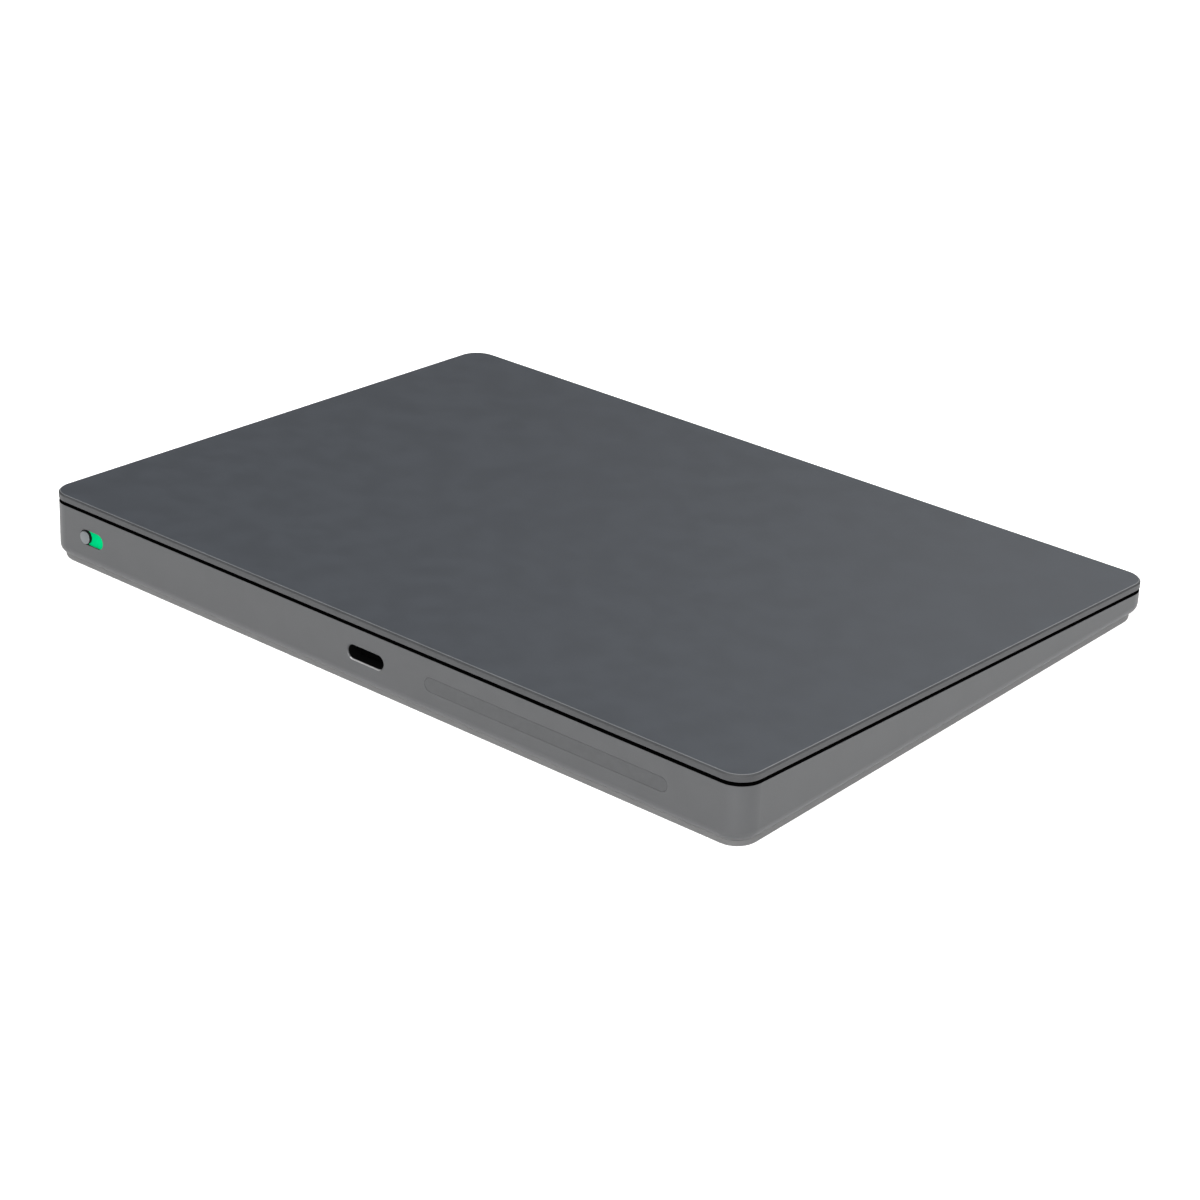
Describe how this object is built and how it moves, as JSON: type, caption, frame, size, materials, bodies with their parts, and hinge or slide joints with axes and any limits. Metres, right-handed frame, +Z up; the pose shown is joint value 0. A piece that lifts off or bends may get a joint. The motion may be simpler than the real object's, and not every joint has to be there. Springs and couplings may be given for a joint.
{
  "type": "wireless trackpad",
  "caption": "Wedge-shaped wireless touch pad: a glass plate floats over a shallow aluminium tub, with a rear slide switch, a charging port and an antenna window.",
  "frame": {"origin": "on the table, under the middle of the pad's bounding box", "axes": "+X to the user's right along the long side, +Y to the tall rear edge with the switch and port, +Z up"},
  "size_m": [0.16, 0.1112, 0.0129],
  "materials": {
    "grey_aluminium": "bead-blasted grey anodised aluminium",
    "base_polymer": "fine-grained soft grey polymer",
    "black_gasket": "black foam rubber",
    "window_plastic": "grey radio-clear plastic",
    "ribbon_film": "amber polyimide ribbon",
    "port_steel": "drawn stainless shell",
    "port_plastic": "black connector resin",
    "gold_contacts": "gold-plated contacts",
    "switch_plastic": "black acetal",
    "shield_tin": "tin-plated shield can",
    "cell_pouch": "black laminated pouch",
    "adhesive": "white stretch-release strips",
    "green_board": "green solder mask",
    "copper_winding": "enamelled copper wire",
    "spring_steel": "hardened spring strip",
    "gauge_film": "strain gauge foil on polyimide",
    "green_mark": "bright green moulded marker",
    "knob_aluminium": "fine-blasted grey anodised aluminium",
    "gel": "clear grey silicone gel",
    "lamination_steel": "stacked electrical steel",
    "screw_steel": "plated steel screws",
    "touch_glass": "fine matte etched glass over a dark grey print",
    "black_film": "black adhesive film",
    "black_board": "black solder mask over laminate",
    "steel_sheet": "rolled stainless sheet",
    "chip_resin": "moulded chip resin",
    "socket_plastic": "connector plastic"
  },
  "bodies": {
    "housing": {"housing": "grey_aluminium", "base_pad": "base_polymer", "gap_gasket": "black_gasket", "antenna_window": "window_plastic", "antenna_flex": "ribbon_film", "usb_c_shell": "port_steel", "usb_c_tongue": "port_plastic", "usb_c_contacts": "gold_contacts", "switch_body": "switch_plastic", "switch_lead": "ribbon_film", "logic_board": "black_board", "processor_shield": "shield_tin", "radio_shield": "shield_tin", "board_chips": "chip_resin", "board_sockets": "socket_plastic", "board_screws": "screw_steel", "sensor_ribbon": "ribbon_film", "battery_cell_left": "cell_pouch", "battery_cell_right": "cell_pouch", "battery_adhesive": "adhesive", "battery_board": "green_board", "battery_lead": "ribbon_film", "haptic_core": "lamination_steel", "haptic_coils": "copper_winding", "haptic_bracket": "steel_sheet", "haptic_screws": "screw_steel", "haptic_lead": "ribbon_film", "flexure_rear_right": "spring_steel", "flexure_rear_left": "spring_steel", "flexure_front_right": "spring_steel", "flexure_front_left": "spring_steel", "strain_gauges": "gauge_film", "flexure_screws": "screw_steel"},
    "power_switch": {"switch_slider": "switch_plastic", "on_indicator": "green_mark", "switch_knob": "knob_aluminium"},
    "carrier": {"carrier_frame": "steel_sheet", "force_pads": "gel", "armature": "lamination_steel", "carrier_screws": "screw_steel"},
    "touch_plate": {"touch_glass": "touch_glass", "bond_film": "black_film", "sensor_board": "black_board", "stiffener_plate": "steel_sheet", "touch_controller": "chip_resin", "sensor_socket": "socket_plastic"}
  },
  "joints": [
    {"name": "switch_slide", "type": "slide", "parent": "housing", "child": "power_switch", "axis": [-1, 0, 0], "range_m": [0, 0.0031]},
    {"name": "haptic_shift", "type": "slide", "parent": "housing", "child": "carrier", "axis": [1, 0, 0], "range_m": [-0.0001, 0.0001], "stiffness_N_per_m": 20000, "deforming": ["flexure_rear_right", "flexure_rear_left", "flexure_front_right", "flexure_front_left"]},
    {"name": "plate_press", "type": "slide", "parent": "carrier", "child": "touch_plate", "axis": [0, 0.0553, -0.9985], "range_m": [0, 0.00025], "stiffness_N_per_m": 12000, "deforming": ["force_pads", "sensor_ribbon"]}
  ]
}
